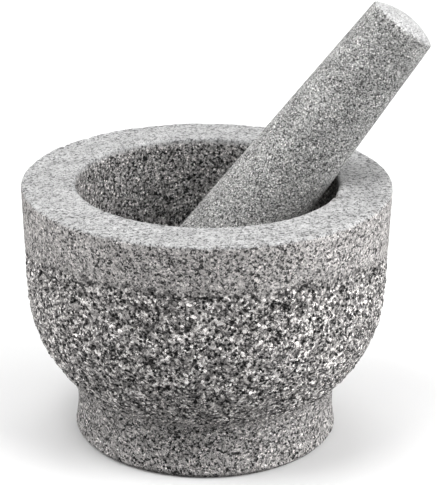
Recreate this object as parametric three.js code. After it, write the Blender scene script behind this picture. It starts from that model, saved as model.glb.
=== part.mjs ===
// A turned granite mortar with its loose pestle leaning in it. Millimetres, +Z up.
// The origin is the centre of the foot's flat underside, and the pestle leans towards +X.
import * as THREE from "three";

// Mortar: outside
const height = 110.8; // underside of the foot to the top of the rim
const footRadius = 56.3; // at the underside
const footTopRadius = 56.1;
const footTop = 23.3;
const footWaist = 1.1; // how far the foot is hollowed in between its ends
const footChamfer = 1.6; // the ground edge that the mortar stands on
const bellyStart = 24.6; // the belly springs from a corner just above the foot
const bellyArcRadius = 59.2;
const bellyCentreHeight = 68; // where the belly stands upright
const bellyRadius = 76.2;
const grooveHeight = 83; // the shallow groove where the rough belly meets the ground rim band
const grooveDepth = 0.9;
const grooveHalfWidth = 1.6;
const rimRadius = 77.5; // the widest place, just under the top
const rimEdgeRadius = 1.2;

// Mortar: inside
const mouthRadius = 55;
const mouthEdgeRadius = 1.5;
const bowlDepth = 74; // leaves a floor 37 thick
const bowlRadius = 51.5; // where the steep wall turns into the round bottom
const bowlRoundHeight = 42; // from the lowest point up to that turn

// Pestle: a tapered stone rod, thin at the hand end and thick at the grinding end
const pestleLength = 168;
const handEndRadius = 14.9;
const handEndDome = 3.3;
const handEdgeRadius = 1.2;
const handEdgeSweep = 60; // degrees of arc before the rounded edge meets the dome
const grindEndRadius = 21.9;
const grindDome = 13;

// Pestle: where it leans. Its axis crosses the plane of the rim at this point.
const leanAngle = THREE.MathUtils.degToRad(36.5); // away from upright
const turnAngle = THREE.MathUtils.degToRad(3.1); // its upper end, from +X towards +Y
const rimCrossing = new THREE.Vector3(32, 7.6, height);
const lengthBelowRim = 83.2; // along its axis, from the plane of the rim down to its tip

// How finely the curves are cut
const mortarSegments = 72;
const pestleSegments = 48;
const waistSteps = 6;
const bellySteps = 9;
const rimEdgeSteps = 4;
const bowlSteps = 14;
const grindSteps = 10;
const handEdgeSteps = 3;
const handDomeSteps = 4;

const granite = { roughness: 0.85, metalness: 0 };
const mortarMaterial = new THREE.MeshStandardMaterial({ color: 0x8b8a88, ...granite });
const pestleMaterial = new THREE.MeshStandardMaterial({ color: 0x9c9a97, ...granite });

// Points on an ellipse in the profile plane, x outwards and y upwards, both ends included.
// The sweep is its first and last angle in degrees, from 0 at the right, anticlockwise.
function ellipseArc(centreX, centreY, radiusX, radiusY, sweep, steps) {
  const points = [];
  for (let i = 0; i <= steps; i++) {
    const angle = THREE.MathUtils.degToRad(THREE.MathUtils.lerp(sweep[0], sweep[1], i / steps));
    points.push(
      new THREE.Vector2(centreX + radiusX * Math.cos(angle), centreY + radiusY * Math.sin(angle)),
    );
  }
  return points;
}

function circleArc(centreX, centreY, radius, sweep, steps) {
  return ellipseArc(centreX, centreY, radius, radius, sweep, steps);
}

// A solid of revolution about Z. The profile starts on the axis at the bottom and ends on it.
function turned(profile, segments) {
  const geometry = new THREE.LatheGeometry(profile, segments);
  geometry.rotateX(Math.PI / 2);
  return geometry;
}

function footProfile() {
  const points = [new THREE.Vector2(0, 0), new THREE.Vector2(footRadius - footChamfer, 0)];
  for (let i = 0; i <= waistSteps; i++) {
    const t = i / waistSteps;
    const straight = THREE.MathUtils.lerp(footRadius, footTopRadius, t);
    const waist = footWaist * Math.sin(Math.PI * t);
    points.push(
      new THREE.Vector2(straight - waist, THREE.MathUtils.lerp(footChamfer, footTop, t)),
    );
  }
  return points;
}

function bellyProfile() {
  const startAngle = THREE.MathUtils.radToDeg(
    Math.asin((bellyStart - bellyCentreHeight) / bellyArcRadius),
  );
  const centreX = bellyRadius - bellyArcRadius;
  return circleArc(centreX, bellyCentreHeight, bellyArcRadius, [startAngle, 0], bellySteps);
}

function grooveProfile() {
  const edgeTop = height - rimEdgeRadius;
  const wallAt = (z) => {
    const t = (z - bellyCentreHeight) / (edgeTop - bellyCentreHeight);
    return THREE.MathUtils.lerp(bellyRadius, rimRadius, t);
  };
  return [
    new THREE.Vector2(wallAt(grooveHeight - grooveHalfWidth), grooveHeight - grooveHalfWidth),
    new THREE.Vector2(wallAt(grooveHeight) - grooveDepth, grooveHeight),
    new THREE.Vector2(wallAt(grooveHeight + grooveHalfWidth), grooveHeight + grooveHalfWidth),
  ];
}

function rimProfile() {
  const outerX = rimRadius - rimEdgeRadius;
  const innerX = mouthRadius + mouthEdgeRadius;
  const outer = circleArc(outerX, height - rimEdgeRadius, rimEdgeRadius, [0, 90], rimEdgeSteps);
  const inner = circleArc(innerX, height - mouthEdgeRadius, mouthEdgeRadius, [90, 180], rimEdgeSteps);
  return [...outer, ...inner];
}

function bowlProfile() {
  const floor = height - bowlDepth;
  return ellipseArc(0, floor + bowlRoundHeight, bowlRadius, bowlRoundHeight, [0, -90], bowlSteps);
}

function makeMortar() {
  const profile = [
    ...footProfile(),
    ...bellyProfile(),
    ...grooveProfile(),
    ...rimProfile(),
    ...bowlProfile(),
  ];
  profile[profile.length - 1].x = 0;
  const mortar = new THREE.Mesh(turned(profile, mortarSegments), mortarMaterial);
  mortar.name = "mortar";
  return mortar;
}

function pestleProfile() {
  const grind = ellipseArc(0, grindDome, grindEndRadius, grindDome, [-90, 0], grindSteps);
  const edgeX = handEndRadius - handEdgeRadius;
  const edgeY = pestleLength - handEndDome - handEdgeRadius;
  const edge = circleArc(edgeX, edgeY, handEdgeRadius, [0, handEdgeSweep], handEdgeSteps);
  const rise = pestleLength - edge[edge.length - 1].y;
  const reach = edge[edge.length - 1].x;
  const domeRadius = (reach * reach + rise * rise) / (2 * rise);
  const domeEdge = THREE.MathUtils.radToDeg(Math.acos(reach / domeRadius));
  const dome = circleArc(0, pestleLength - domeRadius, domeRadius, [domeEdge, 90], handDomeSteps);
  return [...grind, ...edge, ...dome.slice(1)];
}

function makePestle() {
  const profile = pestleProfile();
  profile[0].x = 0;
  profile[profile.length - 1].x = 0;
  const pestle = new THREE.Mesh(turned(profile, pestleSegments), pestleMaterial);
  pestle.name = "pestle";
  pestle.rotation.set(0, leanAngle, turnAngle, "ZYX");
  const axis = new THREE.Vector3(0, 0, 1).applyEuler(pestle.rotation);
  pestle.position.copy(rimCrossing).addScaledVector(axis, -lengthBelowRim);
  return pestle;
}

const set = new THREE.Group();
set.add(makeMortar(), makePestle());

export default set;
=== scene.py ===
"""The looks of a turned granite mortar with its pestle leaning in it.

Each stone is one closed mesh of its own, turned from an outline and then worn, pitted and chipped in
code, and it stands for the plain CAD solid of the same name. Outlines are in millimetres; meshes,
lights and camera are in metres, in the CAD model's frame.
"""

import math

import bpy
import numpy as np
from mathutils import Matrix, Vector


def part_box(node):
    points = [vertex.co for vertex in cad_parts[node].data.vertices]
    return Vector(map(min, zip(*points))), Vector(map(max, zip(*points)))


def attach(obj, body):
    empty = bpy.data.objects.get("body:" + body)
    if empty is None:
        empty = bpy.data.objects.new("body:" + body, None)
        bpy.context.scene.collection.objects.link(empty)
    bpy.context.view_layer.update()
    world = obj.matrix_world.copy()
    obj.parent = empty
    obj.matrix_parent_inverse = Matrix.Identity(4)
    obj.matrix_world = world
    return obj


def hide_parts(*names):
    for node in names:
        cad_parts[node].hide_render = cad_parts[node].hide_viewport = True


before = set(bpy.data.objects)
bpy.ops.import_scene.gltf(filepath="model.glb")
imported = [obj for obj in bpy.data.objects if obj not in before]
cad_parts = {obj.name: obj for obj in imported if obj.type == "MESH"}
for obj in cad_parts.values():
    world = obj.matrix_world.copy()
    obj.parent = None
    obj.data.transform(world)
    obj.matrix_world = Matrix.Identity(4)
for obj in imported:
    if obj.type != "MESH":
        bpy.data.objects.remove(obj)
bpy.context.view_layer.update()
MM = 0.001

# Mortar, in millimetres. Its rim and height come from the frame.
MORTAR_LOW, MORTAR_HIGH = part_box("mortar")
HEIGHT = MORTAR_HIGH.z / MM
RIM_RADIUS = MORTAR_HIGH.x / MM
FOOT_RADIUS, FOOT_TOP_RADIUS = 56.3, 56.1
FOOT_TOP, FOOT_WAIST, FOOT_CHAMFER = 23.3, 1.1, 1.6
BELLY_START, BELLY_ARC_RADIUS = 24.6, 59.2
BELLY_CENTRE_HEIGHT, BELLY_RADIUS = 68.0, 76.2
GROOVE_HEIGHT, GROOVE_DEPTH, GROOVE_HALF_WIDTH = 83.0, 0.9, 1.6
RIM_EDGE = 1.2
MOUTH_RADIUS, MOUTH_EDGE = 55.0, 1.5
BOWL_DEPTH, BOWL_RADIUS, BOWL_ROUND_HEIGHT = 74.0, 51.5, 42.0

# Pestle, in millimetres, and how it leans.
PESTLE_LENGTH = 168.0
HAND_RADIUS, HAND_DOME, HAND_EDGE = 14.9, 3.3, 1.2
GRIND_RADIUS, GRIND_DOME = 21.9, 13.0
LEAN, TURN = math.radians(36.5), math.radians(3.1)
RIM_CROSSING = (32.0, 7.6, HEIGHT)
LENGTH_BELOW_RIM = 83.2

MORTAR_SEGMENTS = 480
PESTLE_SEGMENTS = 190
STRIP_GAP = 0.004  # the bare edge of each strip of the UV map, as a share of it


# ---------------------------------------------------------------- repeatable noise


def hashed(cell, salt):
    """A number from 0 to 1 for each whole-numbered cell, the same in every run."""
    x, y, z = (cell[..., i].astype(np.uint64) for i in range(3))
    mask = np.uint64(0xFFFFFFFF)
    h = (x * np.uint64(374761393) + y * np.uint64(668265263)) & mask
    h = (h + z * np.uint64(2147483629) + np.uint64(salt * 974634777 + 12345)) & mask
    for shift, factor in ((13, 1274126177), (16, 2246822519), (15, 3266489917)):
        h = ((h ^ (h >> np.uint64(shift))) * np.uint64(factor)) & mask
    return (h ^ (h >> np.uint64(16))).astype(float) / float(0xFFFFFFFF)


def noise(points, size, salt):
    """Smooth noise from about -1 to 1, with bumps about size apart."""
    p = points / size
    corner = np.floor(p).astype(np.int64)
    inside = p - corner
    ease = inside**3 * (inside * (inside * 6 - 15) + 10)
    total = np.zeros(len(p))
    for step in np.ndindex(2, 2, 2):
        cell = corner + step
        slope = np.stack([hashed(cell, salt + 101 * k) * 2 - 1 for k in range(3)], -1)
        share = np.prod(np.where(step, ease, 1 - ease), axis=1)
        total += share * ((inside - step) * slope).sum(1)
    return total * 1.9


def layered(points, size, layers, salt):
    """Noise with finer and weaker layers on top, from about -1 to 1."""
    total = sum(noise(points, size / 2**k, salt + 7 * k) / 2**k for k in range(layers))
    return total / (2 - 0.5 ** (layers - 1))


def cells(points, size, salt):
    """For each point, the nearest of many scattered seeds about size apart.

    Returns how far it is (1 is the spacing), the way from it, and its own random numbers.
    """
    p = points / size
    home = np.floor(p).astype(np.int64)
    best = np.full(len(p), 9.0)
    way = np.zeros_like(p)
    chosen = np.zeros_like(home)
    for step in np.ndindex(3, 3, 3):
        cell = home + np.array(step) - 1
        seed = cell + np.stack([hashed(cell, salt + 31 * k) for k in range(3)], -1)
        gap = p - seed
        distance = np.sqrt((gap**2).sum(1))
        nearer = distance < best
        best = np.where(nearer, distance, best)
        way[nearer] = gap[nearer]
        chosen[nearer] = cell[nearer]
    own = np.stack([hashed(chosen, salt + 500 + 17 * k) for k in range(4)], -1)
    return best, way, own


def smooth(low, high, x):
    """0 below low, 1 above high, and an easy curve between."""
    t = np.clip((x - low) / (high - low), 0, 1)
    return t * t * (3 - 2 * t)


# ---------------------------------------------------------------- outlines


class Outline:
    """An outline to turn about Z: points (r, z), the stretch each belongs to, and rows of mesh."""

    def __init__(self):
        self.r, self.z, self.zone = [], [], []

    def add(self, zone, points):
        """Adds a stretch. Its first point is left out where it repeats the last one."""
        for r, z in points:
            if self.r and math.hypot(r - self.r[-1], z - self.z[-1]) < 1e-6:
                continue
            self.r.append(r)
            self.z.append(z)
            self.zone.append(zone)

    def line(self, zone, start, end, spacing):
        steps = max(1, round(math.dist(start, end) / spacing))
        self.add(zone, [tuple(np.array(start) + (np.array(end) - start) * i / steps)
                        for i in range(steps + 1)])

    def arc(self, zone, centre, radii, angles, spacing):
        """Part of an ellipse, from the first angle to the second, in degrees."""
        a0, a1 = (math.radians(a) for a in angles)
        length = abs(a1 - a0) * math.hypot(*radii) / math.sqrt(2)
        steps = max(2, round(length / spacing))
        turn = [a0 + (a1 - a0) * i / steps for i in range(steps + 1)]
        self.add(zone, [(centre[0] + radii[0] * math.cos(a), centre[1] + radii[1] * math.sin(a))
                        for a in turn])


def mortar_outline():
    """From the middle of the underside, out, up, over the rim and down to the bowl's lowest point."""
    line = Outline()
    line.line("under", (0, 0), (FOOT_RADIUS - FOOT_CHAMFER, 0), 5.5)
    line.line("foot", (FOOT_RADIUS - FOOT_CHAMFER, 0), (FOOT_RADIUS, FOOT_CHAMFER), 1.1)
    wall = np.linspace(0, 1, 19)
    waist = FOOT_WAIST * np.sin(math.pi * wall)
    radius = FOOT_RADIUS + (FOOT_TOP_RADIUS - FOOT_RADIUS) * wall - waist
    line.add("foot", zip(radius, FOOT_CHAMFER + (FOOT_TOP - FOOT_CHAMFER) * wall))
    start = math.degrees(math.asin((BELLY_START - BELLY_CENTRE_HEIGHT) / BELLY_ARC_RADIUS))
    centre = (BELLY_RADIUS - BELLY_ARC_RADIUS, BELLY_CENTRE_HEIGHT)
    line.arc("belly", centre, (BELLY_ARC_RADIUS,) * 2, (start, 0), 0.85)
    top = HEIGHT - RIM_EDGE
    line.line("belly", (BELLY_RADIUS, BELLY_CENTRE_HEIGHT), (RIM_RADIUS, top), 1.0)
    line.arc("rim_edge", (RIM_RADIUS - RIM_EDGE, top), (RIM_EDGE,) * 2, (0, 90), 0.6)
    mouth = MOUTH_RADIUS + MOUTH_EDGE
    line.line("rim", (RIM_RADIUS - RIM_EDGE, HEIGHT), (mouth, HEIGHT), 1.4)
    line.arc("mouth_edge", (mouth, HEIGHT - MOUTH_EDGE), (MOUTH_EDGE,) * 2, (90, 180), 0.6)
    turn_height = HEIGHT - BOWL_DEPTH + BOWL_ROUND_HEIGHT
    line.line("bowl", (MOUTH_RADIUS, HEIGHT - MOUTH_EDGE), (BOWL_RADIUS, turn_height), 1.7)
    line.arc("bowl", (0, turn_height), (BOWL_RADIUS, BOWL_ROUND_HEIGHT), (0, -90), 2.0)
    return line


def pestle_outline():
    """From the tip of the grinding end up to the middle of the hand end."""
    line = Outline()
    line.arc("grind", (0, GRIND_DOME), (GRIND_RADIUS, GRIND_DOME), (-90, 0), 0.9)
    shoulder = PESTLE_LENGTH - HAND_DOME
    line.line("shaft", (GRIND_RADIUS, GRIND_DOME), (HAND_RADIUS, shoulder - HAND_EDGE), 0.8)
    centre = (HAND_RADIUS - HAND_EDGE, shoulder - HAND_EDGE)
    line.arc("hand_edge", centre, (HAND_EDGE,) * 2, (0, 60), 0.4)
    reach, rise = line.r[-1], PESTLE_LENGTH - line.z[-1]
    dome = (reach**2 + rise**2) / (2 * rise)
    edge = math.degrees(math.acos(reach / dome))
    line.arc("hand_end", (0, PESTLE_LENGTH - dome), (dome,) * 2, (edge, 90), 0.8)
    return line


def uv_strips(outline):
    """(first row, last row, how many parts it is cut into, its share) of each stretch of the UV map."""
    last = len(outline.r) - 1
    turns = [0, last]
    wide = outline.zone[0] == "under"
    if wide:
        turns = [0, outline.zone.index("foot"), outline.zone.index("bowl"), last]
    plans = [(1, 0.4), (2, 1.0), (1, 1.0)] if wide else [(1, 1.0)]
    return [(a, b, *plan) for a, b, plan in zip(turns, turns[1:], plans)]


# ---------------------------------------------------------------- stone surfaces


class Stone:
    """A turned stone as arrays: where each vertex is, which way it faces, and what it is like."""

    def __init__(self, outline, segments):
        r, z = np.array(outline.r), np.array(outline.z)
        r[0] = r[-1] = 0.0
        self.segments = segments
        self.rows = len(r)
        slope_r, slope_z = np.gradient(r), np.gradient(z)
        size = np.hypot(slope_r, slope_z)
        out_r, out_z = slope_z / size, -slope_r / size
        out_r[0] = out_r[-1] = 0.0
        angle = np.arange(segments) * 2 * math.pi / segments
        self.length = np.concatenate([[0], np.cumsum(np.hypot(np.diff(r), np.diff(z)))])
        self.strips = uv_strips(outline)
        self.r, self.z = r, z
        self.zone = np.repeat(np.array(outline.zone), segments)
        self.angle = np.tile(angle, self.rows)
        self.row_r, self.row_z = np.repeat(r, segments), np.repeat(z, segments)
        around = np.stack([np.cos(self.angle), np.sin(self.angle)], -1)
        self.points = np.column_stack([around * self.row_r[:, None], self.row_z])
        self.facing = np.column_stack(
            [around * np.repeat(out_r, segments)[:, None], np.repeat(out_z, segments)])
        self.facing[:segments] = (0, 0, np.sign(out_z[0]))
        self.facing[-segments:] = (0, 0, np.sign(out_z[-1]))

    def is_zone(self, *names):
        return np.isin(self.zone, names).astype(float)


def hammered(points):
    """Depth in mm, below 0, of stone broken by a pointed hammer, and how deep in a pit each point is."""
    swell = layered(points, 16, 2, 11) * 0.28
    _, way, own = cells(points, 4.4, 12)
    facets = (way * (own[:, :3] - 0.5)).sum(1) * 1.4
    distance, _, own = cells(points, 3.1, 13)
    bowl_size = 0.34 + 0.3 * own[:, 0]
    pits = np.clip(1 - (distance / bowl_size) ** 2, 0, 1) * smooth(0.35, 0.9, own[:, 1]) * 1.5
    distance, _, own = cells(points, 1.9, 14)
    small = np.clip(1 - (distance / 0.62) ** 2, 0, 1) * smooth(0.3, 0.9, own[:, 1]) * 0.55
    grain = noise(points, 1.5, 15) * 0.16
    depth = swell + facets + grain - pits - small - 0.25
    return depth, np.clip((pits + small - facets * 0.6) / 1.5, 0, 1)


def ground(points, salt):
    """Depth in mm of stone ground smooth: slight waves, fine grain and a few pits."""
    waves = layered(points, 24, 2, salt) * 0.12
    grain = noise(points, 1.7, salt + 1) * 0.05
    distance, _, own = cells(points, 3.4, salt + 2)
    pits = np.clip(1 - (distance / 0.3) ** 2, 0, 1) * smooth(0.72, 0.95, own[:, 1]) * 0.4
    return waves + grain - pits - 0.05, np.clip(pits / 0.4, 0, 1)


def edge_chips(points, along, amount, salt):
    """How much, in mm, an edge has lost to waviness and a few real chips, and where the chips are."""
    wavy = np.clip(layered(points, 9, 3, salt) + 0.15, 0, 1)
    chip = along * np.clip(layered(points, 5, 2, salt + 5) - 0.36, 0, 1) * 3.5
    return amount * (0.45 * wavy * along + chip), np.clip(chip * 1.5, 0, 1)


def roughness_top(angle, points):
    """How high up the rough belly reaches, in mm: higher at the front and back than at the sides."""
    front = np.abs(np.sin(angle + math.pi / 2))
    return 91.0 - 8.5 * front**7 + layered(points * (1, 1, 0.2), 9, 3, 21) * 2.2


def near(value, centre, width):
    return np.exp(-(((value - centre) / width) ** 2))


def finish_mortar(stone):
    """Moves the mortar's surface, says how rough and pale each vertex is, and where shade is painted on
    it.
    """
    p, z, r = stone.points, stone.row_z, stone.row_r
    belly = stone.is_zone("belly")
    border = roughness_top(stone.angle, p)
    rough = belly * smooth(-1.2, 1.2, border - z) * smooth(BELLY_START - 1, BELLY_START + 1.5, z)
    broken, broken_pits = hammered(p)
    flat, flat_pits = ground(p, 31)
    bowl = stone.is_zone("bowl")
    bowl_grain = layered(p, 3.2, 2, 41) * 0.16 * bowl
    depth = rough * broken + (1 - rough) * (flat + bowl_grain)
    groove = belly * np.clip(1 - np.abs(z - GROOVE_HEIGHT) / GROOVE_HALF_WIDTH, 0, 1)
    side = 0.35 + 0.65 * np.abs(np.cos(stone.angle)) ** 2
    depth -= groove * GROOVE_DEPTH * side * (1 + 0.4 * noise(p, 7, 51))
    outer = near(z, HEIGHT, 1.6) * near(r, RIM_RADIUS, 2.4)
    mouth = near(z, HEIGHT, 1.3) * near(r, MOUTH_RADIUS + 0.5, 1.6)
    foot = near(z, 1.0, 1.4) * near(r, FOOT_RADIUS, 2.0)
    chipped = np.zeros(len(p))
    for salt, (edge, amount) in enumerate(((outer, 0.9), (mouth, 0.6), (foot, 0.8))):
        lost, chips = edge_chips(p, edge, amount, 61 + 10 * salt)
        depth -= lost
        chipped = np.maximum(chipped, chips)
    under = stone.is_zone("under")
    depth = np.where(under > 0, -np.abs(depth) * 0.3 * smooth(0, 6, r), depth)
    pale = stone.is_zone("rim", "mouth_edge") + stone.is_zone("rim_edge") * smooth(
        HEIGHT - 1.2, HEIGHT - 0.5, z + 0.3 * noise(p, 2.0, 91))
    # Painted shade along the ragged top of the rough belly, and in pits, the groove and chips.
    border_shade = near(z, border - 1.4, 1.9) * smooth(-0.25, 0.45, layered(p, 4.5, 2, 81)) * belly
    recess_shade = rough * broken_pits + (1 - rough) * flat_pits * 0.6 + 0.5 * groove + 0.6 * chipped
    recess_shade += 0.75 * border_shade
    pale = pale * (1 - 0.8 * chipped)
    # shade_and_scratches paints shade into the bowl, darker deeper down, and onto the foot under the
    # belly; it also marks where grinding scratched the bowl.
    return depth, {"rough": rough, "pale": np.clip(pale, 0, 1), "recess_shade": np.clip(recess_shade, 0, 1),
                   "shade_and_scratches": bowl * (1 - 0.3 * smooth(40, HEIGHT, z)) + 0.35 * stone.is_zone("foot")}


def finish_pestle(stone):
    """The same for the pestle, whose hand end is sawn and pale."""
    p, z = stone.points, stone.row_z
    depth, pits = ground(p + 300, 131)
    depth = depth * 0.8
    shoulder = PESTLE_LENGTH - HAND_DOME
    edge = near(z, shoulder, 1.3) * near(stone.row_r, HAND_RADIUS, 1.2)
    depth -= edge_chips(p, edge, 0.5, 141)[0]
    pale = stone.is_zone("hand_end") + stone.is_zone("hand_edge") * smooth(
        shoulder - 0.8, shoulder + 0.2, z + 0.3 * noise(p, 2.0, 151))
    none = np.zeros(len(p))
    # Painted shade in the pestle's pits.
    return depth, {"rough": none, "pale": np.clip(pale, 0, 1), "recess_shade": pits * 0.6, "shade_and_scratches": none}


# ---------------------------------------------------------------- meshes


def ring_faces(rows, segments):
    """Quads between rings, and fans at both ends. Vertices: first pole, rings, last pole."""
    faces = []

    def ring(i, j):
        return 1 + (i - 1) * segments + j % segments

    last = 1 + (rows - 2) * segments
    for j in range(segments):
        faces.append((0, ring(1, j + 1), ring(1, j)))
    for i in range(1, rows - 2):
        for j in range(segments):
            faces.append((ring(i, j), ring(i, j + 1), ring(i + 1, j + 1), ring(i + 1, j)))
    for j in range(segments):
        faces.append((ring(rows - 2, j), ring(rows - 2, j + 1), last))
    return faces


def lay_out(mesh, stone):
    """A UV map in even strips: a quarter turn of a wide stretch of the stone fills each strip's width."""
    rows, segments = stone.rows, stone.segments
    strips, used = [], 0.0
    for start, end, parts, weight in stone.strips:
        tall = (stone.length[end] - stone.length[start]) * weight
        strips.append((start, end, parts, used, tall))
        used += tall * parts
    strip_of = {i: strip for strip in strips for i in range(strip[0], strip[1])}

    def corner(i, j, row):
        """Where the corner of face (i, j) on this row goes; j may be a half, at a pole."""
        start, end, parts, base, tall = strip_of[i]
        part = int(j * parts // segments)
        up = (stone.length[row] - stone.length[start]) / (stone.length[end] - stone.length[start])
        return part, (base + (part + STRIP_GAP + up * (1 - 2 * STRIP_GAP)) * tall) / used

    uv = []
    for i in range(rows - 1):
        for j in range(segments):
            part, low = corner(i, j, i)
            high = corner(i, j, i + 1)[1]
            parts = strip_of[i][2]
            left, right = (j * parts / segments - part, (j + 1) * parts / segments - part)
            left, right = (STRIP_GAP + x * (1 - 2 * STRIP_GAP) for x in (left, right))
            if i == 0:
                uv += [((left + right) / 2, low), (right, high), (left, high)]
            elif i == rows - 2:
                uv += [(left, low), (right, low), ((left + right) / 2, high)]
            else:
                uv += [(left, low), (right, low), (right, high), (left, high)]
    mesh.uv_layers.new(name="OFBake").data.foreach_set("uv", np.array(uv, np.float32).ravel())


def make_stone(name, outline, segments, finish, place, material):
    """Builds one closed stone, worn by finish, put where place says, standing for its CAD node."""
    stone = Stone(outline, segments)
    depth, looks = finish(stone)
    moved = stone.points + stone.facing * depth[:, None]
    keep = np.r_[0, np.arange(segments, len(moved) - segments), len(moved) - 1]
    mesh = bpy.data.meshes.new(name)
    mesh.from_pydata((moved[keep] * MM).tolist(), [], ring_faces(stone.rows, segments))
    for key, values in looks.items():
        mesh.attributes.new(key, "FLOAT", "POINT").data.foreach_set(
            "value", values[keep].astype(np.float32))
    lay_out(mesh, stone)
    mesh.transform(place)
    mesh.polygons.foreach_set("use_smooth", [True] * len(mesh.polygons))
    mesh.materials.append(material)
    mesh.update()
    piece = bpy.data.objects.new(name + "_stone", mesh)
    bpy.context.scene.collection.objects.link(piece)
    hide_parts(name)
    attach(piece, name)
    return piece


def pestle_place():
    """Where the pestle stands: tip down, leaning, with its axis through the rim at RIM_CROSSING."""
    turn = Matrix.Rotation(TURN, 4, "Z") @ Matrix.Rotation(LEAN, 4, "Y")
    axis = turn @ Vector((0, 0, 1))
    tip = (Vector(RIM_CROSSING) - axis * LENGTH_BELOW_RIM) * MM
    return Matrix.Translation(tip) @ turn


# ---------------------------------------------------------------- granite

GRANITE_SPECULAR = 0.35
ROUGH_BRIGHTER = 1.27  # broken stone shows brighter faces than ground stone
# Painted shade: the dark grey that the bowl and the foot are pulled toward.
SHADE_TONE = (0.113, 0.111, 0.109)


class Nodes:
    """Short calls to build the nodes of a material or a world."""

    def __init__(self, owner):
        owner.use_nodes = True
        self.tree = owner.node_tree

    def add(self, kind, inputs=(), **settings):
        node = self.tree.nodes.new(kind)
        for key, value in settings.items():
            setattr(node, key, value)
        for socket, value in dict(inputs).items():
            self.put(node.inputs[socket], value)
        return node

    def put(self, socket, value):
        if isinstance(value, bpy.types.NodeSocket):
            self.tree.links.new(value, socket)
        else:
            socket.default_value = value

    def math(self, operation, a, b=0.0, c=0.0):
        return self.add("ShaderNodeMath", {0: a, 1: b, 2: c}, operation=operation).outputs[0]

    def scaled(self, vector, factor):
        node = self.add("ShaderNodeVectorMath", {0: vector}, operation="SCALE")
        self.put(node.inputs["Scale"], factor)
        return node.outputs[0]

    def seen_or_cast(self, seen, cast):
        """One value for what the camera sees straight on, another for the light passed on."""
        path = self.add("ShaderNodeLightPath")
        return self.add("ShaderNodeMapRange", {
            "Value": path.outputs["Is Camera Ray"], "To Min": cast, "To Max": seen}).outputs[0]

    def attribute(self, name):
        return self.add("ShaderNodeAttribute", attribute_name=name).outputs["Fac"]

    def noise(self, vector, per_mm, detail=2.0, rough=0.5):
        inputs = {"Vector": vector, "Scale": per_mm, "Detail": detail, "Roughness": rough}
        return self.add("ShaderNodeTexNoise", inputs).outputs["Fac"]

    def crystals(self, vector, per_mm):
        """Random numbers, one set for each crystal."""
        colour = self.voronoi(vector, per_mm).outputs["Color"]
        return self.add("ShaderNodeSeparateColor", {0: colour}).outputs

    def voronoi(self, vector, per_mm, feature="F1"):
        inputs = {"Vector": vector, "Scale": per_mm}
        return self.add("ShaderNodeTexVoronoi", inputs, feature=feature)

    def ramp(self, value, stops):
        """stops are (position, grey or (r, g, b)) pairs."""
        node = self.add("ShaderNodeValToRGB", {"Fac": value})
        band = node.color_ramp
        while len(band.elements) < len(stops):
            band.elements.new(1.0)
        for element, (position, tone) in zip(band.elements, stops):
            element.position = position
            rgb = (tone,) * 3 if isinstance(tone, (int, float)) else tone
            element.color = (*rgb, 1.0)
        return node.outputs["Color"]

    def mix(self, share, a, b, blend="MIX"):
        node = self.add("ShaderNodeMix", data_type="RGBA", blend_type=blend)
        self.put(node.inputs[0], share)
        self.put(node.inputs[6], a)
        self.put(node.inputs[7], b)
        return node.outputs[2]


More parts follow.
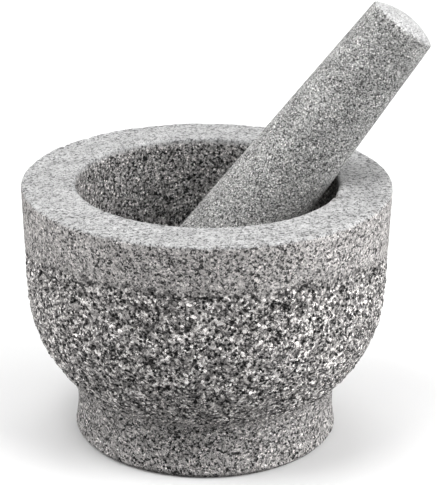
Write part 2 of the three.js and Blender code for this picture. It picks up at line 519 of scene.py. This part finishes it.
def granite(name, grain, sharp, tint, sawn):
    """Speckled grey granite: grain is the usual crystal size in mm, and tint its mean colour.

    sharp is the contrast between crystals, from 1 up, and sawn how pale a sawn face is.
    The rough and pale attributes say how the surface was worked; recess_shade and shade_and_scratches say
    where shade is painted, the second also where grinding scratched the bowl.
    """
    material = bpy.data.materials.new(name)
    n = Nodes(material)
    shader = n.tree.nodes["Principled BSDF"]
    place = n.add("ShaderNodeTexCoord").outputs["Object"]
    mm = n.scaled(place, 1 / MM)
    wander = n.add("ShaderNodeTexNoise", {"Vector": mm, "Scale": 1.6 / grain, "Detail": 2.0})
    shift = n.add("ShaderNodeVectorMath", {0: wander.outputs["Color"], 1: (0.5, 0.5, 0.5)},
                  operation="SUBTRACT").outputs[0]
    bent = n.add("ShaderNodeVectorMath", {0: mm, 1: n.scaled(shift, 1.5 * grain)},
                 operation="ADD").outputs[0]
    rough, pale = n.attribute("rough"), n.attribute("pale")
    recess_shade, shade_and_scratches = n.attribute("recess_shade"), n.attribute("shade_and_scratches")

    # Ground stone: small crystals of three minerals, over finer grain.
    crystal = n.crystals(bent, 1 / grain)
    grit = n.crystals(bent, 1 / (0.55 * grain))
    minerals = n.ramp(crystal[0], [
        (0.0, 0.08), (0.12, 0.22), (0.23, 0.82), (0.6, 1.1), (0.85, 1.32), (1.0, 1.6)])
    flecks = n.ramp(grit[1], [
        (0.0, 0.04), (0.15, 0.22), (0.27, 0.88), (0.7, 1.18), (0.9, 1.42), (1.0, 1.7)])
    ground_grain = n.mix(1.0, minerals, flecks, "MULTIPLY")

    # Broken stone: bigger bright grains that stand up, with painted shade in the gaps and round holes
    # between them.
    facet = n.crystals(bent, 1 / (1.15 * grain))
    faces = n.ramp(facet[0], [
        (0.0, 0.15), (0.12, 0.3), (0.25, 0.8), (0.6, 1.15), (0.85, 1.7), (1.0, 2.4)])
    lump = n.voronoi(bent, 1 / 1.9)
    gap = n.voronoi(bent, 1 / 1.9, "DISTANCE_TO_EDGE")
    gap = n.ramp(gap.outputs["Distance"], [(0.02, 0.05), (0.15, 1.0)])
    shut = n.ramp(n.noise(mm, 1 / 2.6, 2.0, 0.6), [(0.44, 0.0), (0.53, 1.0)])
    gap = n.mix(shut, gap, (1, 1, 1, 1))
    holes = n.ramp(n.voronoi(bent, 1 / 2.4).outputs["Distance"], [(0.2, 0.04), (0.36, 1.0)])
    # Painted shade in the gaps between grains and in the round holes.
    gap_shade = n.mix(1.0, gap, holes, "MULTIPLY")
    broken_grain = n.mix(1.0, n.mix(0.8, minerals, faces), gap_shade, "MULTIPLY")
    broken_grain = n.mix(0.55, broken_grain, n.mix(1.0, broken_grain, flecks, "MULTIPLY"))

    # Sawn stone: pale with dust, and only the darkest crystals show.
    dusty = n.mix(1.0, n.ramp(crystal[0], [(0.0, 0.22), (0.14, 0.55), (0.3, 0.99), (1.0, 1.12)]),
                  n.ramp(grit[1], [(0.0, 0.25), (0.16, 0.6), (0.34, 0.98), (1.0, 1.2)]), "MULTIPLY")

    speckle = n.mix(rough, ground_grain, broken_grain)
    # Stronger speckle contrast where shade is painted in the bowl and on the foot, and on broken stone.
    contrast = n.math("MULTIPLY_ADD", shade_and_scratches, 1.5, n.math("MULTIPLY_ADD", rough, 0.45, sharp))
    speckle = n.add("ShaderNodeGamma", {"Color": speckle, "Gamma": contrast}).outputs[0]
    speckle = n.mix(pale, speckle, dusty)
    tone = n.mix(rough, (*tint, 1), (*(c * ROUGH_BRIGHTER for c in tint), 1))
    # Painted shade in the bowl, darker deeper down, and on the foot under the belly.
    tone = n.mix(shade_and_scratches, tone, (*SHADE_TONE, 1))
    tone = n.mix(pale, tone, (sawn, sawn, sawn, 1))
    stone = n.mix(1.0, tone, speckle, "MULTIPLY")

    patches = n.ramp(n.noise(mm, 1 / 8.0, 4.0, 0.65), [(0.3, 0.82), (0.5, 1.0), (0.7, 1.16)])
    stone = n.mix(1.0, stone, patches, "MULTIPLY")
    # Painted shade in pits, chips, the groove and along the rough border.
    shade = n.ramp(recess_shade, [(0.0, 1.0), (0.35, 0.75), (1.0, 0.35)])
    stone = n.mix(1.0, stone, shade, "MULTIPLY")

    # The saw and grinder leave faint rings on the rim.
    split = n.add("ShaderNodeSeparateXYZ", {0: mm})
    radius = n.math("SQRT", n.math("ADD", n.math("POWER", split.outputs[0], 2.0),
                                   n.math("POWER", split.outputs[1], 2.0)))
    sweep = n.add("ShaderNodeCombineXYZ", {
        0: n.math("DIVIDE", split.outputs[0], radius), 1: n.math("DIVIDE", split.outputs[1], radius),
        2: n.math("MULTIPLY", radius, 0.16)}).outputs[0]
    rings = n.ramp(n.noise(sweep, 7.0, 4.0, 0.65), [(0.3, 0.9), (0.5, 1.0), (0.7, 1.1)])
    stone = n.mix(pale, stone, n.mix(1.0, stone, rings, "MULTIPLY"))

    # Grinding has scratched the bowl's wall up and down.
    climb = n.add("ShaderNodeCombineXYZ", {
        0: n.math("DIVIDE", split.outputs[0], radius), 1: n.math("DIVIDE", split.outputs[1], radius),
        2: n.math("MULTIPLY", split.outputs[2], 0.003)}).outputs[0]
    scratches = n.ramp(n.noise(climb, 48.0, 2.0, 0.6), [(0.35, 0.8), (0.5, 1.0), (0.68, 1.4)])
    stone = n.mix(shade_and_scratches, stone, n.mix(1.0, stone, scratches, "MULTIPLY"))

    n.put(shader.inputs["Base Color"], stone)
    gloss = n.ramp(crystal[2], [(0.0, 0.5), (0.15, 0.62), (0.3, 0.8), (1.0, 0.9)])
    n.put(shader.inputs["Roughness"], gloss)
    shader.inputs["Specular IOR Level"].default_value = GRANITE_SPECULAR

    fine = n.math("ADD", n.math("MULTIPLY", n.noise(mm, 1.1, 3.0, 0.65), 0.2),
                  n.math("MULTIPLY", grit[0], 0.05))
    domes = n.math("MULTIPLY", lump.outputs["Distance"], -0.7)
    # The same mask of the gaps and holes also sinks them in the bump.
    chipped = n.math("ADD", n.math("MULTIPLY", gap_shade, 0.3), domes)
    height = n.math("ADD", fine, n.math("MULTIPLY", chipped, rough))
    height = n.math("MULTIPLY", height, n.math("SUBTRACT", 1.0, n.math("MULTIPLY", pale, 0.6)))
    bump = n.add("ShaderNodeBump", {"Height": height, "Strength": 1.0, "Distance": MM})
    n.put(shader.inputs["Normal"], bump.outputs[0])
    return material


# ---------------------------------------------------------------- studio

CAMERA_BACK = 0.7882  # how far in front of the mortar's axis the camera stands
CAMERA_PITCH = 0.3720  # looking down, in radians
CAMERA_YAW, CAMERA_ROLL = 0.0064, 0.0100
AIM_HEIGHT = 0.0827  # where the middle of the view meets the mortar's axis
CAMERA_LENS = 148.45
FLOOR_SIDE = 14.0
FLOOR_HEIGHT = -0.0002  # just under the foot, so that the two faces never coincide
PAPER_SEEN, PAPER_CAST = 0.86, 0.32
PAPER_ROUGHNESS, PAPER_SPECULAR = 0.9, 0.1
SENSOR_WIDTH = 36.0
CLIP_NEAR, CLIP_FAR = 0.05, 60.0
LIT_POINT = (0, 0, 0.08)
LIGHT_DISTANCE = 2.9


def add_camera():
    data = bpy.data.cameras.new("camera")
    data.lens, data.sensor_width = CAMERA_LENS, SENSOR_WIDTH
    data.clip_start, data.clip_end = CLIP_NEAR, CLIP_FAR
    camera = bpy.data.objects.new("camera", data)
    bpy.context.scene.collection.objects.link(camera)
    height = AIM_HEIGHT + CAMERA_BACK * math.tan(CAMERA_PITCH)
    camera.matrix_world = (
        Matrix.Translation((0, -CAMERA_BACK, height))
        @ Matrix.Rotation(-CAMERA_YAW, 4, "Z")
        @ Matrix.Rotation(math.pi / 2 - CAMERA_PITCH, 4, "X")
        @ Matrix.Rotation(CAMERA_ROLL, 4, "Z")
    )
    bpy.context.scene.camera = camera


def add_floor():
    """A wide sheet of white paper. It throws back less light than it shows, so it stays a backdrop."""
    mesh = bpy.data.meshes.new("floor")
    corners = [(x * FLOOR_SIDE / 2, y * FLOOR_SIDE / 2, FLOOR_HEIGHT)
               for x, y in ((-1, -1), (1, -1), (1, 1), (-1, 1))]
    mesh.from_pydata(corners, [], [(0, 1, 2, 3)])
    paper = bpy.data.materials.new("floor_paper")
    n = Nodes(paper)
    shader = n.tree.nodes["Principled BSDF"]
    n.put(shader.inputs["Base Color"], n.seen_or_cast(PAPER_SEEN, PAPER_CAST))
    shader.inputs["Roughness"].default_value = PAPER_ROUGHNESS
    shader.inputs["Specular IOR Level"].default_value = PAPER_SPECULAR
    mesh.materials.append(paper)
    floor = bpy.data.objects.new("floor", mesh)
    bpy.context.scene.collection.objects.link(floor)


def add_softbox(name, around, up, size, power):
    """A square soft light aimed at the object: around is in degrees from the front, to the right."""
    data = bpy.data.lights.new(name, "AREA")
    data.size, data.energy = size, power
    light = bpy.data.objects.new(name, data)
    light.visible_camera = False
    turn, rise = math.radians(around), math.radians(up)
    way = Vector((math.sin(turn) * math.cos(rise), -math.cos(turn) * math.cos(rise), math.sin(rise)))
    place = Matrix.Translation(Vector(LIT_POINT) + way * LIGHT_DISTANCE)
    light.matrix_world = place @ (-way).to_track_quat("-Z", "Y").to_matrix().to_4x4()
    bpy.context.scene.collection.objects.link(light)


def add_world(seen, cast):
    """A white room: seen is how bright it looks to the camera, cast how much light it gives."""
    world = bpy.data.worlds.new("studio")
    bpy.context.scene.world = world
    n = Nodes(world)
    n.put(n.tree.nodes["Background"].inputs["Color"], (1, 1, 1, 1))
    n.put(n.tree.nodes["Background"].inputs["Strength"], n.seen_or_cast(seen, cast))


add_camera()
add_floor()
add_world(seen=1.0, cast=0.05)
add_softbox("right_softbox", 60, 38, 1.6, 62.0)
add_softbox("right_edge_softbox", 90, 12, 1.6, 51.2)
add_softbox("left_softbox", -60, 62, 1.6, 45.6)
add_softbox("left_edge_softbox", -90, 12, 1.6, 44.4)
add_softbox("back_softbox", 180, 62, 1.6, 24.0)
add_softbox("top_softbox", 0, 90, 2.4, 26.8)

mortar_granite = granite("mortar_granite", grain=0.9, sharp=1.1, tint=(0.43, 0.413, 0.405), sawn=0.42)
mortar = make_stone("mortar", mortar_outline(), MORTAR_SEGMENTS, finish_mortar,
                    Matrix.Identity(4), mortar_granite)
pestle_granite = granite("pestle_granite", grain=0.48, sharp=1.62, tint=(0.34, 0.339, 0.333), sawn=0.52)
pestle = make_stone("pestle", pestle_outline(), PESTLE_SEGMENTS, finish_pestle,
                    pestle_place(), pestle_granite)

bpy.context.scene.view_settings.view_transform = "Standard"
